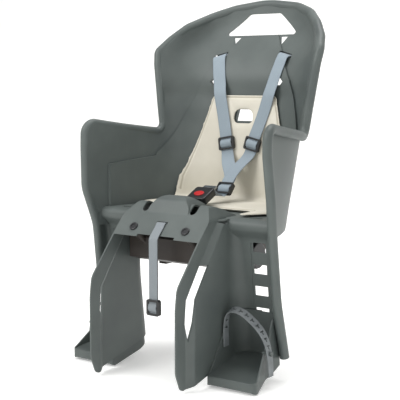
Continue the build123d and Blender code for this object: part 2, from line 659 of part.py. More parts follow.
def build_footrest():
    """Right footrest: tray with a sloping base, side walls rising to a back plate, latch and strap stud."""
    shapes = []
    for inset in (0, REST_WALL):
        wires = []
        for z in (-20, REST_TOP + 20):
            wires.append(Wire(footrest_plan(z, inset).edges()).moved(Location((0, 0, z))))
        shapes.append(Solid.make_loft(wires, ruled=True))
    outer, inner = shapes
    walls = outer - inner
    halves = []
    for outline, x_from, x_to in ((REST_OUTLINE, 0, HOLE_X), (REST_OUTER_OUTLINE, HOLE_X, 300)):
        points = [row[:2] for row in outline]
        radii = [row[2] for row in outline]
        halves.append(walls & side_prism(FilletPolyline(*points, radius=radii, close=True), x_from, x_to))
    walls = halves[0] + halves[1]
    base = outer & side_prism(Polyline(*REST_BASE, close=True), 0, 300)
    bed = TRACK_DEPTH - WALL / 2 - REST_GAP
    latch = []
    for y, z in ((bed, 0), (bed, LATCH_LENGTH), (-5, LATCH_LENGTH), (-5, 0)):
        latch.append((rear_at(LATCH_HEIGHT + z) + y, LATCH_HEIGHT + z))
    latch = side_prism(Polyline(*latch, close=True), HOLE_X - 8, HOLE_X + 8)
    stud = Cylinder(STUD_R, STUD_END - STUD_START, rotation=(0, 90, 0))
    stud = stud.moved(Location(((STUD_END + STUD_START) / 2, STRAP_Y, STUD_HEIGHT)))
    head = Cylinder(STUD_HEAD_R, STUD_HEAD_LENGTH, rotation=(0, 90, 0))
    head = head.moved(Location((STUD_END, STRAP_Y, STUD_HEIGHT)))
    return walls + base + latch + stud + head


def build_foot_strap():
    """Right foot strap: a rubber band from the tray's inner wall over the foot and outside its outer wall."""
    path = Spline(*FOOT_STRAP_LINE)
    band = extrude(Plane.XZ * trace(path, FOOT_STRAP_THICK), FOOT_STRAP_WIDTH, dir=(0, 1, 0))
    band = band.moved(Location((0, STRAP_Y - FOOT_STRAP_WIDTH / 2, 0)))
    hole = Cylinder(STUD_HOLE_R, 60, rotation=(0, 90, 0))
    return band - hole.moved(Location((215, STRAP_Y, STUD_HEIGHT)))


def build_adapter():
    """Carrier adapter: an open-topped tray with jaw guides, a spindle post, bolt bosses and front bosses."""
    tray = side_prism(Polyline(*ADAPTER_OUTLINE, close=True), -ADAPTER_HALF, ADAPTER_HALF)
    side = make_face(Polyline(*ADAPTER_OUTLINE, close=True))
    inside = offset(side, -ADAPTER_WALL, kind=Kind.INTERSECTION)
    hollow = extrude(Plane.YZ * inside, ADAPTER_HALF - ADAPTER_WALL, dir=(1, 0, 0), both=True)
    tray = tray - hollow - hollow.moved(Location((0, 0, ADAPTER_WALL + 1)))
    floor = REST_HEIGHT + ADAPTER_WALL
    for y in (JAW_DEPTH - JAW_LENGTH / 2 - JAW_GAP - 2, JAW_DEPTH + JAW_LENGTH / 2 + JAW_GAP + 2):
        tray = tray + Box(2 * ADAPTER_HALF - 2, 4, 30).moved(Location((0, y, floor + 14)))
    tray = tray + Box(18, 46, 34).moved(Location((0, JAW_DEPTH, floor + 16)))
    for x in (-BOLT_X, BOLT_X):
        post = Cylinder(BOSS_R, ADAPTER_TOP - REST_HEIGHT, align=(Align.CENTER, Align.CENTER, Align.MIN))
        tray = tray + post.moved(Location((x, BOLT_DEPTH, REST_HEIGHT)))
    for x in (-SCREW_X, SCREW_X):
        boss = Cylinder(BOSS_R, SCREW_BOSS_LENGTH, align=(Align.CENTER, Align.CENTER, Align.MAX))
        tray = tray + slope_plane(x, SCREW_ALONG, -WALL) * boss
    for x in (-BOLT_X, BOLT_X):
        tray = tray - Cylinder(BOLT_R + 0.4, 200).moved(Location((x, BOLT_DEPTH, REST_HEIGHT + 50)))
        well = Cylinder(BOLT_WELL_R, 2 * BOLT_WELL_DEPTH)
        tray = tray - well.moved(Location((x, BOLT_DEPTH, REST_HEIGHT)))
    for x in (-SCREW_X, SCREW_X):
        tray = tray - slope_plane(x, SCREW_ALONG, -WALL) * Cylinder(SCREW_R, 60)
    reach = ADAPTER_HALF + 8 - JAW_SLOT_START
    high = JAW_HEIGHT + 9
    opening = Box(reach, JAW_LENGTH + 2 * JAW_GAP, high).moved(
        Location((JAW_SLOT_START + reach / 2, JAW_DEPTH, REST_HEIGHT - 2 + high / 2)))
    tray = tray - both_sides(opening)
    bore = Cylinder(SPINDLE_R + 2 * BORE_GAP, 400, rotation=(0, 90, 0))
    return tray - bore.moved(Location((0, JAW_DEPTH, SPINDLE_HEIGHT)))


def build_jaw():
    """Right clamp jaw: a bar on the tray's floor with a claw hooked under the carrier's tube."""
    floor = REST_HEIGHT + ADAPTER_WALL + 0.4
    bar = Box(JAW_OUT - JAW_IN, JAW_LENGTH, JAW_HEIGHT).moved(
        Location(((JAW_IN + JAW_OUT) / 2, JAW_DEPTH, floor + JAW_HEIGHT / 2)))
    tube_z = REST_HEIGHT - TUBE_R
    claw = Box(JAW_OUT - TUBE_X + 4, JAW_LENGTH, 12)
    claw = claw.moved(Location(((JAW_OUT + TUBE_X - 4) / 2, JAW_DEPTH, tube_z - 6)))
    neck_in = TUBE_X + TUBE_R + BORE_GAP
    neck = Box(JAW_OUT - neck_in, JAW_LENGTH, floor - tube_z + 8).moved(
        Location(((JAW_OUT + neck_in) / 2, JAW_DEPTH, (floor + tube_z + 4) / 2)))
    jaw = bar + claw + neck
    tube = Cylinder(TUBE_R + BORE_GAP, 200, rotation=(90, 0, 0))
    jaw = jaw - tube.moved(Location((TUBE_X, JAW_DEPTH, tube_z)))
    bore = Cylinder(SPINDLE_R + BORE_GAP, 200, rotation=(0, 90, 0))
    return jaw - bore.moved(Location((60, JAW_DEPTH, SPINDLE_HEIGHT)))


def build_spindle():
    """Clamp spindle with a collar on each side of its post."""
    rod = Cylinder(SPINDLE_R, SPINDLE_END + SPINDLE_START, rotation=(0, 90, 0)).moved(
        Location(((SPINDLE_END - SPINDLE_START) / 2, JAW_DEPTH, SPINDLE_HEIGHT)))
    for side in (-1, 1):
        collar = Cylinder(COLLAR_R, COLLAR_LENGTH, rotation=(0, 90, 0))
        rod = rod + collar.moved(Location((side * COLLAR_X, JAW_DEPTH, SPINDLE_HEIGHT)))
    return rod


def build_knob():
    """Fluted knob on the spindle's right end."""
    knob = Cylinder(KNOB_R, KNOB_LENGTH)
    knob = fillet(knob.faces().sort_by(Axis.Z)[-1].edges(), 4)
    for step in range(KNOB_FLUTES):
        flute = Pos(KNOB_R + FLUTE_OUT, 0, 0) * Cylinder(FLUTE_R, 2 * KNOB_LENGTH)
        knob = knob - Rot(0, 0, 360 * step / KNOB_FLUTES) * flute
    knob = knob - Cylinder(SPINDLE_R, 2 * KNOB_LENGTH)
    middle = KNOB_START + RING_LENGTH + KNOB_LENGTH / 2
    return Location((middle, JAW_DEPTH, SPINDLE_HEIGHT), (0, 90, 0)) * knob


def build_knob_ring():
    """Red ring between the knob and the adapter."""
    ring = Cylinder(KNOB_R - 1.5, RING_LENGTH) - Cylinder(SPINDLE_R, 2 * RING_LENGTH)
    return Location((KNOB_START + RING_LENGTH / 2, JAW_DEPTH, SPINDLE_HEIGHT), (0, 90, 0)) * ring


def build_strap_keepers():
    """Two keepers behind the back, one on the end of each shoulder strap."""
    keepers = []
    for side in (-1, 1):
        slot, way = slot_middle(side)
        plane = Plane(slot + Vector(0, 18, 0), x_dir=way, z_dir=(0, 1, 0))
        block = Box(40, 14, 8) - Box(STRAP_WIDTH + 1.2, STRAP_THICK + 1.2, 30)
        keepers.append((plane * block).solid())
    return Compound(keepers)


def build_crotch_keeper():
    """Keeper on the crotch strap's end, under the pan."""
    block = Box(36, 14, 7) - Box(CROTCH_WIDTH + 1, CROTCH_THICK + 1, 30)
    return block.moved(Location((0, CROTCH_DEPTH, PAN_HEIGHT - WALL / 2 - 3.5 - CLEAR)))


def build_front_adjuster(middle):
    """Ladder adjuster near the front strap's end."""
    plane = Plane(middle, x_dir=(1, 0, 0), z_dir=(0, -1, 0))
    return slider(plane, 29, 30, 8, FRONT_STRAP_WIDTH + 1, FRONT_STRAP_THICK + 1)


def build_bridge_screws():
    """Two capped screws through the bridge into the adapter's front bosses."""
    screws = []
    for x in (-SCREW_X, SCREW_X):
        cap = Cylinder(SCREW_CAP_R, 3, align=(Align.CENTER, Align.CENTER, Align.MIN))
        cap = fillet(cap.faces().sort_by(Axis.Z)[-1].edges(), 2)
        cap = cap - Cylinder(SCREW_DISH_R, 2).moved(Location((0, 0, 3)))
        shank = Cylinder(SCREW_R - 0.1, 28, align=(Align.CENTER, Align.CENTER, Align.MAX))
        screws.append((slope_plane(x, SCREW_ALONG) * (cap + shank)).solid())
    return Compound(screws)


def build_adapter_bolts():
    """Two bolts up through the adapter's posts into the pan's bosses."""
    bolts = []
    for x in (-BOLT_X, BOLT_X):
        head = Cylinder(BOLT_HEAD_R, 4, align=(Align.CENTER, Align.CENTER, Align.MAX))
        shank = Cylinder(BOLT_R - 0.1, ADAPTER_TOP - REST_HEIGHT,
                         align=(Align.CENTER, Align.CENTER, Align.MIN))
        bolt = (head + shank).moved(Location((x, BOLT_DEPTH, REST_HEIGHT + BOLT_WELL_DEPTH)))
        bolts.append(bolt.solid())
    return Compound(bolts)


pieces = {
    "seat_shell": build_shell(),
    "back_pad": build_pad(),
    "strap_keepers": build_strap_keepers(),
    "tongue_strap": build_link(),
    "strap_tongue": build_tongue(),
    "buckle_body": build_buckle(),
    "buckle_button": build_button(),
    "crotch_strap": build_crotch_strap(),
    "crotch_keeper": build_crotch_keeper(),
    "bridge_screws": build_bridge_screws(),
    "carrier_adapter": build_adapter(),
    "adapter_bolts": build_adapter_bolts(),
    "clamp_spindle": build_spindle(),
    "clamp_knob": build_knob(),
    "knob_ring": build_knob_ring(),
}
for side, name in ((-1, "left"), (1, "right")):
    pieces[f"shoulder_strap_{name}"] = build_shoulder_strap(side)
    pieces[f"strap_adjuster_{name}"] = slider(strap_plane(side), ADJUSTER_WIDTH, ADJUSTER_LENGTH,
                                              ADJUSTER_HEIGHT, STRAP_WIDTH + 1.4, STRAP_THICK + 1.5)
pieces["harness_ring"] = slider(ring_plane(), ADJUSTER_WIDTH, ADJUSTER_LENGTH, ADJUSTER_HEIGHT + 2,
                                STRAP_WIDTH + 4, 2 * STRAP_THICK + 2)
pieces["front_strap"], front_middle = build_front_strap()
pieces["front_strap_adjuster"] = build_front_adjuster(front_middle)
right_pieces = {"clamp_jaw": build_jaw(), "footrest": build_footrest(), "foot_strap": build_foot_strap()}
for name, right in right_pieces.items():
    pieces[f"{name}_right"] = right
    pieces[f"{name}_left"] = right.mirror(Plane.YZ)

os.makedirs("parts", exist_ok=True)
for name, shape in pieces.items():
    export_step(shape.moved(Location((0, -REST_DEPTH, -REST_HEIGHT))), f"parts/{name}.step")
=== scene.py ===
import json
import math

import bmesh
import bpy
import numpy as np
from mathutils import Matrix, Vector


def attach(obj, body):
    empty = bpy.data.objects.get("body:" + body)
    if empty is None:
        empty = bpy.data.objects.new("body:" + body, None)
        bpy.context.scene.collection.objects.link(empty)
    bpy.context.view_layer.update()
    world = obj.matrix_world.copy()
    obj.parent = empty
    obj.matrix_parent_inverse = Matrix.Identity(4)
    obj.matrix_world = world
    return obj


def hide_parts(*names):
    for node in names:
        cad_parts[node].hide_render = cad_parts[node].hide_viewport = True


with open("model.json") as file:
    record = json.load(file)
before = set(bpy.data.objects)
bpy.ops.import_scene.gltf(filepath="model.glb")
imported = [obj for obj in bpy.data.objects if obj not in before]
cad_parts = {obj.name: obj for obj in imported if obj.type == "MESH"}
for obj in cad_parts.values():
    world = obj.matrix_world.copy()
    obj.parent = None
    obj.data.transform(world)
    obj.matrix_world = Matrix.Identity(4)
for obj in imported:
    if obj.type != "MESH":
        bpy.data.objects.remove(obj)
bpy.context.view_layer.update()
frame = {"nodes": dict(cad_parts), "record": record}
slot_of = {row["node"]: row["material_slot"] for row in frame["record"]["subparts"]}

# Seat shell: one moulding of filled polypropylene, grey-green all through, with the back, wings, arms,
# leg channels, shields and the bridge in one. The mould is etched with a fine leather-like grain.


def linear(code):
    """Linear RGBA of an sRGB hex colour."""
    share = np.array([int(code[i:i + 2], 16) / 255 for i in (1, 3, 5)])
    low = share / 12.92
    high = ((share + 0.055) / 1.055) ** 2.4
    return (*np.where(share <= 0.04045, low, high).tolist(), 1.0)


def add(tree, kind, inputs=None, **settings):
    """Adds a node, sets its properties, and links or sets each named or numbered input."""
    made = tree.nodes.new("ShaderNode" + kind)
    for key, value in settings.items():
        setattr(made, key, value)
    for key, value in (inputs or {}).items():
        if isinstance(value, bpy.types.NodeSocket):
            tree.links.new(value, made.inputs[key])
        else:
            made.inputs[key].default_value = value
    return made


def new_material(name):
    """An empty node material with its output and the Principled shader that feeds it."""
    material = bpy.data.materials.new(name)
    material.use_nodes = True
    tree = material.node_tree
    tree.nodes.clear()
    shader = add(tree, "BsdfPrincipled")
    add(tree, "OutputMaterial", {"Surface": shader.outputs[0]})
    return material, tree, shader


def ramp_of(tree, factor, stops):
    """Colour ramp fed by a factor, with stops of position and hex colour."""
    ramp = add(tree, "ValToRGB", {"Fac": factor})
    elements = ramp.color_ramp.elements
    while len(elements) < len(stops):
        elements.new(0.5)
    for element, (position, code) in zip(elements, stops):
        element.position = position
        element.color = linear(code)
    return ramp.outputs["Color"]


# The pigment lies in soft clouds of about 11 cm.
CLOUD_MM = 111


def moulded_plastic(name, dark, middle, light, grain_mm, grain_depth_mm, rough):
    """Moulded plastic: a soft cloudy tone from the pigment, and an etched grain that breaks the gloss."""
    material, tree, shader = new_material(name)
    place = add(tree, "TexCoord").outputs["Object"]
    cloud = add(tree, "TexNoise", {"Vector": place, "Scale": 1000 / CLOUD_MM, "Detail": 3.0,
                                   "Roughness": 0.55}).outputs["Fac"]
    tone = ramp_of(tree, cloud, ((0.3, dark), (0.5, middle), (0.72, light)))
    tree.links.new(tone, shader.inputs["Base Color"])
    gloss = add(tree, "MapRange", {"Value": cloud, "From Min": 0.3, "From Max": 0.7,
                                   "To Min": rough - 0.05, "To Max": rough + 0.06})
    tree.links.new(gloss.outputs[0], shader.inputs["Roughness"])
    grain = add(tree, "TexVoronoi", {"Vector": place, "Scale": 1000 / grain_mm, "Randomness": 1.0},
                feature="DISTANCE_TO_EDGE")
    bump = add(tree, "Bump", {"Strength": 0.35, "Distance": grain_depth_mm / 1000,
                              "Height": grain.outputs["Distance"]})
    tree.links.new(bump.outputs[0], shader.inputs["Normal"])
    shader.inputs["IOR"].default_value = 1.49
    return material


def finish_node(name, material):
    """Gives a CAD node its finish."""
    node = frame["nodes"][name]
    node.data.materials.clear()
    node.data.materials.append(material)


# The real grain of about 1.5 mm is under a pixel from the photograph's place, so it is drawn at 2.6 mm.
shell_grey = moulded_plastic("shell_polypropylene", "#4b5251", "#535a58", "#5b6260", 2.6, 0.25, 0.5)
finish_node("seat_shell", shell_grey)

# Padded cover: cream coated cloth over thin foam, laid on the back and the pan. Its edge is welded, with a
# second weld line running inside the edge.


def new_object(name, data):
    """An object at the origin, put into the scene."""
    made = bpy.data.objects.new(name, data)
    bpy.context.scene.collection.objects.link(made)
    return made


def merged_copy(name, node):
    """A new object with a CAD node's mesh, its loose triangles joined into one skin."""
    made = new_object(name, frame["nodes"][node].data.copy())
    skin = bmesh.new()
    skin.from_mesh(made.data)
    bmesh.ops.remove_doubles(skin, verts=skin.verts, dist=1e-6)
    skin.to_mesh(made.data)
    skin.free()
    if made.data.has_custom_normals:
        made.data.attributes.remove(made.data.attributes["custom_normal"])
    return made


def apply_modifiers(piece):
    """Replaces the piece's mesh by what its modifiers make of it."""
    graph = bpy.context.evaluated_depsgraph_get()
    made = bpy.data.meshes.new_from_object(piece.evaluated_get(graph))
    piece.modifiers.clear()
    piece.data = made


def vertex_rows(piece, field):
    """One field of the piece's vertices, co or normal, as an array with a row for each vertex."""
    flat = np.zeros(3 * len(piece.data.vertices), np.float32)
    piece.data.vertices.foreach_get(field, flat)
    return flat.reshape(-1, 3).astype(float)


def put_points(piece, points):
    """Writes an array of vertices back."""
    piece.data.vertices.foreach_set("co", points.astype(np.float32).ravel())
    piece.data.update()


def dress(piece, material, slot, body, *nodes):
    """Finish, body and the CAD nodes that a new piece stands for; the slot argument is not used."""
    piece.data.materials.clear()
    piece.data.materials.append(material)
    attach(piece, body)
    if nodes:
        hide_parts(*nodes)


# The cloth swells, so it starts a little inside the solid, and no point may move further than the cap.
PAD_VOXEL = 0.0036
PAD_SHRINK = 0.0026
PAD_CAP = 0.0024
PAD_PRESSURE = 4.0
PAD_STEPS = 20
back_pad = merged_copy("back_pad_cover", "back_pad")
remesh = back_pad.modifiers.new("skin", "REMESH")
remesh.mode = "VOXEL"
remesh.voxel_size = PAD_VOXEL
apply_modifiers(back_pad)
back_pad.data.update()
slack = vertex_rows(back_pad, "co") - PAD_SHRINK * vertex_rows(back_pad, "normal")
put_points(back_pad, slack)
cloth = back_pad.modifiers.new("cloth", "CLOTH")
cloth.settings.use_pressure = True
cloth.settings.uniform_pressure_force = PAD_PRESSURE
cloth.settings.effector_weights.gravity = 0.0
for step in range(1, PAD_STEPS + 1):
    bpy.context.scene.frame_set(step)
apply_modifiers(back_pad)
bpy.context.scene.frame_set(1)
swell = vertex_rows(back_pad, "co") - slack
swell_length = np.linalg.norm(swell, axis=1, keepdims=True)
put_points(back_pad, slack + swell * np.minimum(1.0, PAD_CAP / np.maximum(swell_length, 1e-9)))
even = back_pad.modifiers.new("even", "SMOOTH")
even.factor = 0.5
even.iterations = 16
finer = back_pad.modifiers.new("smooth", "SUBSURF")
finer.levels = finer.render_levels = 1
apply_modifiers(back_pad)
back_pad.data.shade_smooth()


def path_distance(flat, path):
    """Shortest distance of each flat point from an open path of straight runs, by its foot on every run."""
    start = np.asarray(path[:-1], float)
    run = np.diff(np.asarray(path, float), axis=0)
    reach = flat[:, None] - start
    share = np.clip((reach * run).sum(axis=2) / (run ** 2).sum(axis=1), 0, 1)
    return np.linalg.norm(reach - share[..., None] * run, axis=2).min(axis=1)


# Half outlines of the back layer, seen from the front, and of the seat layer, seen from above, in mm. Above
# the lowest height of the back layer, a point belongs to the back.
BACK_EDGE = ((0, 321), (74, 321), (82, 315), (100, 250), (131, 148), (133, 94))
SEAT_EDGE = ((0, -6), (112, -6), (112, -55), (130, -55), (162, -16), (165, 10), (165, 135))
LOWEST_BACK = 118
pad_places = vertex_rows(back_pad, "co") * 1000
pad_half = np.abs(pad_places[:, 0])
on_back = path_distance(np.stack([pad_half, pad_places[:, 2]], axis=1), BACK_EDGE)
on_seat = path_distance(np.stack([pad_half, pad_places[:, 1]], axis=1), SEAT_EDGE)
edge_gap = np.where(pad_places[:, 2] > LOWEST_BACK, on_back, on_seat)

# The weld line is a groove of bell-shaped section, pressed in along the normals at a distance from the edge.
WELD_IN = 9.0
WELD_HALF = 2.0
WELD_DEPTH = 0.0014
WELD_MARK = (0.8, 2.4)
SOILING_MM = 71.4
# The real print of about 1 mm would blur away, so it is drawn at 2.2 mm.
PRINT_MM = 2.2
groove = WELD_DEPTH * np.exp(-((edge_gap - WELD_IN) / WELD_HALF) ** 2)
put_points(back_pad, vertex_rows(back_pad, "co") - groove[:, None] * vertex_rows(back_pad, "normal"))
from_edge = back_pad.data.attributes.new("from_edge", "FLOAT", "POINT")
from_edge.data.foreach_set("value", edge_gap.astype(np.float32))


def coated_cloth(name):
    """Coated polyester: cream and matt, with a fine cloth print, faint soiling and a darker weld line."""
    material, tree, shader = new_material(name)
    place = add(tree, "TexCoord").outputs["Object"]
    soiling = add(tree, "TexNoise", {"Vector": place, "Scale": 1000 / SOILING_MM, "Detail": 4.0})
    cover = ramp_of(tree, soiling.outputs["Fac"], ((0.3, "#cbc6b7"), (0.55, "#d3cec0"), (0.75, "#dad5c9")))
    gap = add(tree, "Attribute", attribute_name="from_edge").outputs["Fac"]
    past = add(tree, "Math", {0: gap, 1: WELD_IN}, operation="SUBTRACT")
    near = add(tree, "Math", {0: past.outputs[0]}, operation="ABSOLUTE")
    weld = add(tree, "MapRange", {"Value": near.outputs[0], "From Min": WELD_MARK[0],
                                  "From Max": WELD_MARK[1], "To Min": 1.0, "To Max": 0.0},
               interpolation_type="SMOOTHSTEP")
    tone = add(tree, "Mix", {0: weld.outputs[0], 6: cover, 7: linear("#b3ad9d")}, data_type="RGBA")
    tree.links.new(tone.outputs[2], shader.inputs["Base Color"])
    print_noise = add(tree, "TexNoise", {"Vector": place, "Scale": 1000 / PRINT_MM, "Detail": 1.0})
    bump = add(tree, "Bump", {"Strength": 0.25, "Distance": 0.0003, "Height": print_noise.outputs["Fac"]})
    tree.links.new(bump.outputs[0], shader.inputs["Normal"])
    shader.inputs["Roughness"].default_value = 0.62
    shader.inputs["Sheen Weight"].default_value = 0.15
    return material


dress(back_pad, coated_cloth("coated_cream_cloth"), "pad_cover", "seat", "back_pad")

# Harness webbing: flat woven polyester, blue-grey, 28 mm wide, from the slots high in the back down over the
# pad and through the ring in front of the child.


def spline_through(points, count):
    """Natural cubic spline through points by chord length, sampled at even steps, with the chord marks."""
    points = np.asarray(points, float)
    marks = np.concatenate([[0], np.cumsum(np.linalg.norm(np.diff(points, axis=0), axis=1))])
    gaps = np.diff(marks)
    last = len(points) - 1
    system = np.eye(last + 1)
    right = np.zeros((last + 1, points.shape[1]))
    inner = np.arange(1, last)
    system[inner, inner - 1] = gaps[:-1]
    system[inner, inner] = 2 * (gaps[:-1] + gaps[1:])
    system[inner, inner + 1] = gaps[1:]
    slope = np.diff(points, axis=0) / gaps[:, None]
    right[inner] = 6 * np.diff(slope, axis=0)
    bend = np.linalg.solve(system, right)
    at = np.linspace(0, marks[-1], count)
    index = np.clip(np.searchsorted(marks, at, side="right") - 1, 0, last - 1)
    gap = gaps[index][:, None]
    ahead = ((at - marks[index])[:, None]) / gap
    behind = 1 - ahead
    straight = behind * points[index] + ahead * points[index + 1]
    bow = (behind ** 3 - behind) * bend[index] + (ahead ** 3 - ahead) * bend[index + 1]
    return straight + bow * gap ** 2 / 6, at, marks


def square_to(along, ways):
    """The ways with their share along taken off, so that they are square to it, and made one long."""
    across = ways - along * np.sum(ways * along, axis=-1, keepdims=True)
    return across / np.linalg.norm(across, axis=-1, keepdims=True)


def band_frame(points, ways, count):
    """Points along a band's spline, their chord lengths, and the ways along, across and out of it there."""
    line, at, marks = spline_through(points, count)
    ways = np.asarray(ways, float)
    way = np.stack([np.interp(at, marks, ways[:, i]) for i in range(3)], axis=1)
    along = np.gradient(line, axis=0)
    along /= np.linalg.norm(along, axis=1, keepdims=True)
    across = square_to(along, way)
    return line, at, along, across, np.cross(along, across)


def face_outwards(mesh):
    """Turns every face of a closed mesh outwards."""
    turned = bmesh.new()
    turned.from_mesh(mesh)
    bmesh.ops.recalc_face_normals(turned, faces=turned.faces)
    turned.to_mesh(mesh)
    turned.free()


FLAT_STEPS = 11
TURN_STEPS = 5


def webbing(name, points, ways, width, thick, count):
    """A flat band along a spline: a flat section with round selvedges, carried square to the path, in mm.

    The section runs across the top, round one selvedge, back below and round the other. The UV map holds the
    distance across the band and the length along it, in metres.
    """
    line, _, _, across, out = band_frame(points, ways, count)
    half = (width - thick) / 2
    edge_r = thick / 2
    flat = np.linspace(-half, half, FLAT_STEPS)
    level = np.full(FLAT_STEPS, edge_r)
    turn = np.linspace(math.pi / 2, -math.pi / 2, TURN_STEPS)[1:-1]
    bulge = half + edge_r * np.cos(turn)
    section_x = np.concatenate([flat, bulge, flat[::-1], -bulge])
    section_z = np.concatenate([level, edge_r * np.sin(turn), -level, -edge_r * np.sin(turn)])
    loop = len(section_x)
    surface = line[:, None] + across[:, None] * section_x[:, None] + out[:, None] * section_z[:, None]
    row, col = np.meshgrid(np.arange(count - 1), np.arange(loop), indexing="ij")
    beside = (col + 1) % loop
    quads = np.stack([row * loop + col, row * loop + beside, (row + 1) * loop + beside,
                      (row + 1) * loop + col], axis=-1).reshape(-1, 4)
    caps = [list(range(loop))[::-1], list(range((count - 1) * loop, count * loop))]
    mesh = bpy.data.meshes.new(name)
    mesh.from_pydata((surface.reshape(-1, 3) / 1000).tolist(), [], quads.tolist() + caps)
    length = np.concatenate([[0], np.cumsum(np.linalg.norm(np.diff(line, axis=0), axis=1))])
    uv = np.stack(np.broadcast_arrays(section_x, length[:, None]), axis=-1).reshape(-1, 2) / 1000
    corner = np.zeros(len(mesh.loops), np.int32)
    mesh.loops.foreach_get("vertex_index", corner)
    mesh.uv_layers.new(name="band").data.foreach_set("uv", uv[corner].astype(np.float32).ravel())
    face_outwards(mesh)
    mesh.shade_smooth()
    return new_object(name, mesh)


def woven_band(name, dark, light, rib_mm, width_mm):
    """Woven band: ribs along its length crossed by the weft, with a tighter, darker selvedge at each side.

    The weave is the product of a sine across the band and a sine along it, whose wave is a fifth shorter.
    """
    material, tree, shader = new_material(name)
    place = add(tree, "UVMap", uv_map="band").outputs[0]
    apart = add(tree, "SeparateXYZ", {"Vector": place})
    rib_turns = 2 * math.pi * 1000 / rib_mm
    warp = add(tree, "Math", {0: apart.outputs["X"], 1: rib_turns}, operation="MULTIPLY")
    weft = add(tree, "Math", {0: apart.outputs["Y"], 1: rib_turns / 0.8}, operation="MULTIPLY")
    ribs = add(tree, "Math", {0: warp.outputs[0]}, operation="SINE")
    picks = add(tree, "Math", {0: weft.outputs[0]}, operation="SINE")
    weave = add(tree, "Math", {0: ribs.outputs[0], 1: picks.outputs[0]}, operation="MULTIPLY").outputs[0]
    off_middle = add(tree, "Math", {0: apart.outputs["X"]}, operation="ABSOLUTE")
    selvedge = add(tree, "MapRange", {"Value": off_middle.outputs[0], "From Min": 0.42 * width_mm / 1000,
                                      "From Max": 0.49 * width_mm / 1000, "To Min": 0.0, "To Max": 0.35})
    tone = add(tree, "MapRange", {"Value": weave, "From Min": -1.0, "From Max": 1.0, "To Min": 0.25,
                                  "To Max": 0.85})
    shade = add(tree, "Math", {0: tone.outputs[0], 1: selvedge.outputs[0]}, operation="SUBTRACT")
    colour = ramp_of(tree, shade.outputs[0], ((0.0, dark), (1.0, light)))
    tree.links.new(colour, shader.inputs["Base Color"])
    bump = add(tree, "Bump", {"Strength": 0.4, "Distance": 0.0003, "Height": weave})
    tree.links.new(bump.outputs[0], shader.inputs["Normal"])
    shader.inputs["Roughness"].default_value = 0.58
    shader.inputs["Sheen Weight"].default_value = 0.25
    shader.inputs["Sheen Roughness"].default_value = 0.4
    return material


def level_middle(node, height):
    """Middle of a CAD solid's section at a height, in mm.

    Each side of its triangles that crosses the level gives a point by its share of the way. The answer is the
    middle of the box round these points.
    """
    solid = frame["nodes"][node]
    corners = vertex_rows(solid, "co") * 1000
    ends = np.zeros(2 * len(solid.data.edges), np.int32)
    solid.data.edges.foreach_get("vertices", ends)
    start, end = corners[ends.reshape(-1, 2)].transpose(1, 0, 2)
    crosses = (start[:, 2] < height) != (end[:, 2] < height)
    start, end = start[crosses], end[crosses]
    share = (height - start[:, 2:]) / (end[:, 2:] - start[:, 2:])
    cut = start + share * (end - start)
    return (cut.min(axis=0) + cut.max(axis=0)) / 2


ACROSS = (1, 0, 0)
STRAP_WIDTH = 28
STRAP_THICK = 1.6
STRAP_STEPS = 110
# A real rib of 1.2 mm would blur away from the photograph's place, so every weave is drawn at 2.4 mm.
WEAVE_MM = 2.4
harness_webbing = woven_band("polyester_webbing_blue_grey", "#78858f", "#97a4ad", WEAVE_MM, STRAP_WIDTH)
# Right strap in its slot, which slants down to the outside, and where it bends down in front of the back.
SLOT_ROWS = ((78.5, 203, 399), (78.5, 188, 399), (78.5, 177, 399), (76.8, 167.6, 393))
SLOT_SLANT = 0.258
# Heights over the pad at which a strap's middle is read off its solid. The adjuster is at one of them.
STRAP_LEVELS = (383, 357, 339, 320, 295, 257, 231, 217, 201)
ADJUSTER_AT = STRAP_LEVELS.index(217)
# The hollow of the back turns a strap by the square of its distance from the middle, over this distance.
HOLLOW = 200
# The ring leans back with the straps, which lie in it one over the other.
RING = np.array([8.0, 63.0, 130.0])
RING_LEAN = math.radians(41.83)
RING_UP = np.array([0, math.sin(RING_LEAN), math.cos(RING_LEAN)])
RING_OUT = np.cross(ACROSS, RING_UP)
RING_ROWS = (26, 12, 0, -7)
LAYER_SHIFT = 0.95
adjuster_frames = {}
for side, name in ((-1, "left"), (1, "right")):
    in_slot = np.array(SLOT_ROWS) * (side, 1, 1)
    on_pad = np.array([level_middle(f"shoulder_strap_{name}", level) for level in STRAP_LEVELS])
    layer = side * LAYER_SHIFT * RING_OUT
    in_ring = np.array([RING + up * RING_UP + layer for up in RING_ROWS])
    before_ring = (on_pad[-1] + in_ring[0] - layer) / 2 + 1.2 * layer
    rows = np.vstack([in_slot, on_pad, before_ring, in_ring])
    ways = np.tile(np.array(ACROSS, float), (len(rows), 1))
    ways[:len(in_slot) - 1, 2] = -side * SLOT_SLANT
    bent = slice(len(in_slot) - 1, len(in_slot) + len(on_pad))
    ways[bent, 1] = -side * (rows[bent, 0] / HOLLOW) ** 2
    strap = webbing(f"shoulder_webbing_{name}", rows, ways, STRAP_WIDTH, STRAP_THICK, STRAP_STEPS)
    dress(strap, harness_webbing, slot_of[f"shoulder_strap_{name}"], "seat", f"shoulder_strap_{name}")
    up = on_pad[ADJUSTER_AT - 1] - on_pad[ADJUSTER_AT + 1]
    up /= np.linalg.norm(up)
    adjuster_frames[name] = (on_pad[ADJUSTER_AT], square_to(up, ways[len(in_slot) + ADJUSTER_AT]), up)

